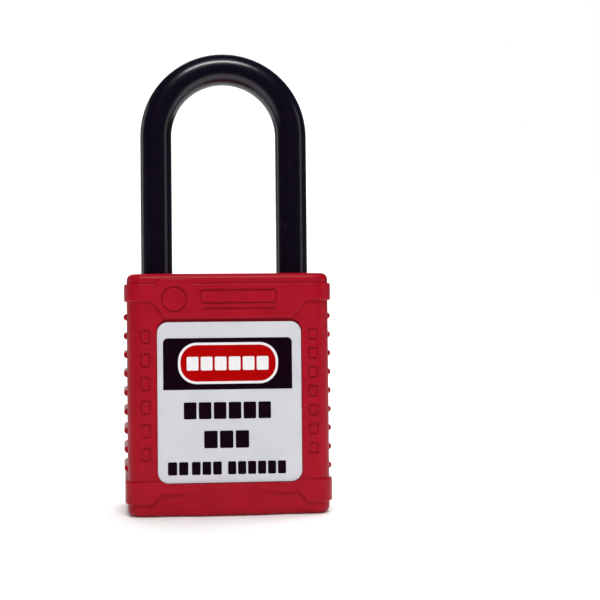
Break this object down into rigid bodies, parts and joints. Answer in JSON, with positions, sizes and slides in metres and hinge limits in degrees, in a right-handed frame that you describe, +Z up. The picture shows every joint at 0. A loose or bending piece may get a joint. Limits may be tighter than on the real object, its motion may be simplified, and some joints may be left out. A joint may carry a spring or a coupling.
{
  "type": "safety padlock",
  "caption": "Nylon-bodied lockout padlock with a long slim shackle, ribbed sides, label panels front and back, and a pin cylinder in its base.",
  "frame": {"origin": "middle of the base, on the face that the lock stands on", "axes": "+Z up along the shackle, +X to the toe side, -Y out of the front label"},
  "size_m": [0.0388, 0.02, 0.0871],
  "materials": {
    "red_nylon": "fine moulded texture, satin",
    "black_nylon": "satin",
    "label_film": "laminated film, satin",
    "core_nylon": "moulded",
    "cast_alloy": "die cast",
    "stainless_steel": "turned",
    "spring_steel": "drawn",
    "hardened_steel": "ground",
    "cylinder_brass": "machined",
    "plug_brass": "machined",
    "pin_brass": "turned",
    "pin_nickel": "turned"
  },
  "bodies": {
    "lock_body": {"body_shell": "red_nylon", "front_label": "label_film", "rear_label": "label_film", "base_cover": "red_nylon", "base_screws": "stainless_steel", "lower_core": "core_nylon", "latch_carrier": "cast_alloy", "carrier_cover": "spring_steel", "cylinder_housing": "cylinder_brass", "chamber_strip": "cylinder_brass", "shackle_spring": "spring_steel", "pin_spring_1": "spring_steel", "pin_spring_2": "spring_steel", "pin_spring_3": "spring_steel", "pin_spring_4": "spring_steel", "pin_spring_5": "spring_steel", "pin_spring_6": "spring_steel"},
    "plug_and_actuator": {"plug": "plug_brass", "plug_clip": "spring_steel", "actuator": "cylinder_brass", "drive_pins": "hardened_steel"},
    "toe_latch": {"toe_latch": "hardened_steel"},
    "heel_latch": {"heel_latch": "hardened_steel"},
    "shackle": {"shackle": "black_nylon", "heel_clip": "spring_steel", "spring_seat": "core_nylon"},
    "driver_pin_1": {"driver_pin_1": "pin_nickel"},
    "driver_pin_2": {"driver_pin_2": "pin_nickel"},
    "driver_pin_3": {"driver_pin_3": "pin_nickel"},
    "driver_pin_4": {"driver_pin_4": "pin_nickel"},
    "driver_pin_5": {"driver_pin_5": "pin_nickel"},
    "driver_pin_6": {"driver_pin_6": "pin_nickel"},
    "key_pin_1": {"key_pin_1": "pin_brass"},
    "key_pin_2": {"key_pin_2": "pin_brass"},
    "key_pin_3": {"key_pin_3": "pin_brass"},
    "key_pin_4": {"key_pin_4": "pin_brass"},
    "key_pin_5": {"key_pin_5": "pin_brass"},
    "key_pin_6": {"key_pin_6": "pin_brass"}
  },
  "joints": [
    {"name": "key_turn", "type": "hinge", "parent": "lock_body", "child": "plug_and_actuator", "pos_m": [0, 0, 0], "axis": [0, 0, 1], "range_deg": [0, 90]},
    {"name": "toe_latch_slide", "type": "slide", "parent": "lock_body", "child": "toe_latch", "axis": [1, 0, 0], "range_m": [-0.004, 0]},
    {"name": "heel_latch_slide", "type": "slide", "parent": "lock_body", "child": "heel_latch", "axis": [1, 0, 0], "range_m": [0, 0.004]},
    {"name": "shackle_lift", "type": "slide", "parent": "lock_body", "child": "shackle", "axis": [0, 0, 1], "range_m": [0, 0.0121], "deforming": ["shackle_spring"]},
    {"name": "driver_pin_1_slide", "type": "slide", "parent": "lock_body", "child": "driver_pin_1", "axis": [1, 0, 0], "range_m": [0, 0.002], "stiffness_N_per_m": 60, "springref_m": -0.0015, "deforming": ["pin_spring_1"]},
    {"name": "driver_pin_2_slide", "type": "slide", "parent": "lock_body", "child": "driver_pin_2", "axis": [1, 0, 0], "range_m": [0, 0.002], "stiffness_N_per_m": 60, "springref_m": -0.0015, "deforming": ["pin_spring_2"]},
    {"name": "driver_pin_3_slide", "type": "slide", "parent": "lock_body", "child": "driver_pin_3", "axis": [1, 0, 0], "range_m": [0, 0.002], "stiffness_N_per_m": 60, "springref_m": -0.0015, "deforming": ["pin_spring_3"]},
    {"name": "driver_pin_4_slide", "type": "slide", "parent": "lock_body", "child": "driver_pin_4", "axis": [1, 0, 0], "range_m": [0, 0.002], "stiffness_N_per_m": 60, "springref_m": -0.0015, "deforming": ["pin_spring_4"]},
    {"name": "driver_pin_5_slide", "type": "slide", "parent": "lock_body", "child": "driver_pin_5", "axis": [1, 0, 0], "range_m": [0, 0.002], "stiffness_N_per_m": 60, "springref_m": -0.0015, "deforming": ["pin_spring_5"]},
    {"name": "driver_pin_6_slide", "type": "slide", "parent": "lock_body", "child": "driver_pin_6", "axis": [1, 0, 0], "range_m": [0, 0.002], "stiffness_N_per_m": 60, "springref_m": -0.0015, "deforming": ["pin_spring_6"]},
    {"name": "key_pin_1_slide", "type": "slide", "parent": "plug_and_actuator", "child": "key_pin_1", "axis": [1, 0, 0], "range_m": [-0.0023, 0]},
    {"name": "key_pin_2_slide", "type": "slide", "parent": "plug_and_actuator", "child": "key_pin_2", "axis": [1, 0, 0], "range_m": [-0.0011, 0]},
    {"name": "key_pin_3_slide", "type": "slide", "parent": "plug_and_actuator", "child": "key_pin_3", "axis": [1, 0, 0], "range_m": [-0.0017, 0]},
    {"name": "key_pin_4_slide", "type": "slide", "parent": "plug_and_actuator", "child": "key_pin_4", "axis": [1, 0, 0], "range_m": [-0.0007, 0]},
    {"name": "key_pin_5_slide", "type": "slide", "parent": "plug_and_actuator", "child": "key_pin_5", "axis": [1, 0, 0], "range_m": [-0.002, 0]},
    {"name": "key_pin_6_slide", "type": "slide", "parent": "plug_and_actuator", "child": "key_pin_6", "axis": [1, 0, 0], "range_m": [-0.0014, 0]}
  ],
  "couplings": [
    {"joint": "toe_latch_slide", "follows": "key_turn", "m_per_rad": -0.0025209},
    {"joint": "heel_latch_slide", "follows": "key_turn", "m_per_rad": 0.0025209},
    {"joint": "shackle_lift", "follows": "key_turn", "m_per_rad": 0.0076394}
  ]
}
